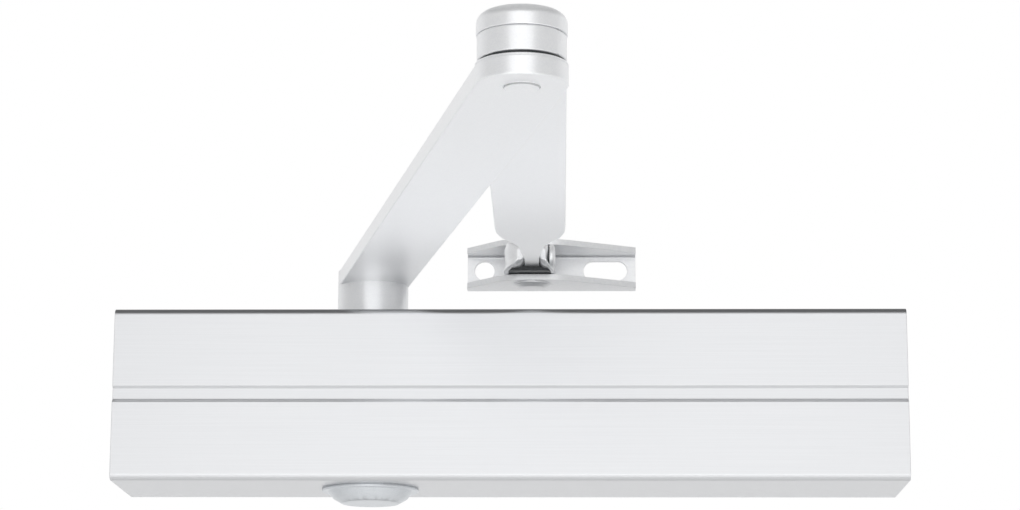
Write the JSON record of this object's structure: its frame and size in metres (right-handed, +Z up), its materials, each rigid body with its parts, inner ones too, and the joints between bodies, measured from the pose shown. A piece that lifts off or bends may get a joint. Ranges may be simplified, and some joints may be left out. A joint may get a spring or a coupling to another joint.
{
  "type": "overhead door closer",
  "caption": "Surface mounted hydraulic door closer in a slim silver case, with a scissor arm and a pivoting shoe bracket.",
  "frame": {"origin": "middle of the closer's four fixing holes, on its mounting face", "axes": "+X along the case, +Z up, +Y into the door or frame that the closer is screwed to"},
  "size_m": [0.275, 0.3008, 0.0972],
  "materials": {
    "silver_anodised": "satin anodised",
    "silver_plastic": "moulded, silver grey",
    "silver_lacquer": "silver lacquer, satin",
    "black_plastic": "moulded, matt",
    "zinc_plate": "zinc plated",
    "cast_aluminium": "as cast",
    "seal_rubber": "moulded rubber",
    "turned_steel": "turned",
    "ground_steel": "ground and hardened",
    "spring_steel": "oil tempered",
    "valve_brass": "turned"
  },
  "bodies": {
    "closer_body": {"cover": "silver_anodised", "left_end_cap": "silver_plastic", "right_end_cap": "silver_plastic", "cover_clips": "black_plastic", "upper_cover_insert": "silver_plastic", "lower_cover_insert": "silver_plastic", "mounting_plate": "zinc_plate", "plate_screws": "zinc_plate", "housing": "cast_aluminium", "valve_seals": "seal_rubber", "left_end_plug": "turned_steel", "right_end_plug": "turned_steel", "end_plug_seals": "seal_rubber", "upper_bearing_cap": "turned_steel", "upper_bearing_shell": "ground_steel", "upper_bearing_rollers": "ground_steel", "upper_shaft_seal": "seal_rubber", "lower_bearing_cap": "turned_steel", "lower_bearing_shell": "ground_steel", "lower_bearing_rollers": "ground_steel", "lower_shaft_seal": "seal_rubber", "spindle_cap": "silver_plastic", "outer_spring": "spring_steel", "inner_spring": "spring_steel"},
    "spindle": {"pinion_shaft": "ground_steel", "main_arm": "silver_lacquer", "arm_screw": "zinc_plate", "elbow_pin": "silver_lacquer", "elbow_washer": "black_plastic"},
    "plunger": {"piston": "turned_steel", "piston_seal": "seal_rubber", "check_ball": "ground_steel"},
    "spring_carrier": {"spring_plate": "turned_steel"},
    "adjuster": {"adjusting_screw": "turned_steel"},
    "closing_control": {"closing_valve": "valve_brass"},
    "latching_control": {"latching_valve": "valve_brass"},
    "backcheck_control": {"backcheck_valve": "valve_brass"},
    "forearm_link": {"forearm": "silver_lacquer", "elbow_bush": "valve_brass", "elbow_cap": "silver_lacquer"},
    "knuckle": {"yoke": "silver_lacquer", "tilt_rivet": "silver_lacquer"},
    "shoe": {"shoe_bracket": "silver_lacquer", "shoe_pin": "silver_lacquer"}
  },
  "joints": [
    {"name": "spindle_turn", "type": "hinge", "parent": "closer_body", "child": "spindle", "pos_m": [-0.0492, -0.024, 0], "axis": [0, 0, 1], "range_deg": [0, 165], "stiffness_Nm_per_rad": 4, "springref_deg": -85.94},
    {"name": "piston_slide", "type": "slide", "parent": "closer_body", "child": "plunger", "axis": [1, 0, 0], "range_m": [0, 0.0288], "deforming": ["outer_spring", "inner_spring"]},
    {"name": "adjuster_turn", "type": "hinge", "parent": "closer_body", "child": "adjuster", "pos_m": [0.114, -0.024, 0], "axis": [1, 0, 0], "range_deg": [0, 2880]},
    {"name": "spring_plate_slide", "type": "slide", "parent": "closer_body", "child": "spring_carrier", "axis": [1, 0, 0], "range_m": [-0.012, 0], "deforming": ["outer_spring", "inner_spring"]},
    {"name": "closing_valve_turn", "type": "hinge", "parent": "closer_body", "child": "closing_control", "pos_m": [0.024, -0.044, -0.0216], "axis": [0, 1, 0], "range_deg": [-180, 180]},
    {"name": "latching_valve_turn", "type": "hinge", "parent": "closer_body", "child": "latching_control", "pos_m": [0.046, -0.044, -0.0216], "axis": [0, 1, 0], "range_deg": [-180, 180]},
    {"name": "backcheck_valve_turn", "type": "hinge", "parent": "closer_body", "child": "backcheck_control", "pos_m": [0.068, -0.044, -0.0216], "axis": [0, 1, 0], "range_deg": [-180, 180]},
    {"name": "elbow_turn", "type": "hinge", "parent": "spindle", "child": "forearm_link", "pos_m": [0.00908, -0.2884, 0.04885], "axis": [0, 0, 1], "range_deg": [-150, 0]},
    {"name": "shoe_tilt", "type": "hinge", "parent": "forearm_link", "child": "knuckle", "pos_m": [0.00749, -0.028, 0.05275], "axis": [1, 0.0061, 0], "range_deg": [-10, 10]},
    {"name": "shoe_swivel", "type": "hinge", "parent": "knuckle", "child": "shoe", "pos_m": [0.0074, -0.0144, 0.05275], "axis": [0, 0, 1], "range_deg": [-75, 75]}
  ],
  "couplings": [
    {"joint": "piston_slide", "follows": "spindle_turn", "m_per_rad": 0.01},
    {"joint": "adjuster_turn", "follows": "spring_plate_slide", "rad_per_m": -4188.8}
  ]
}
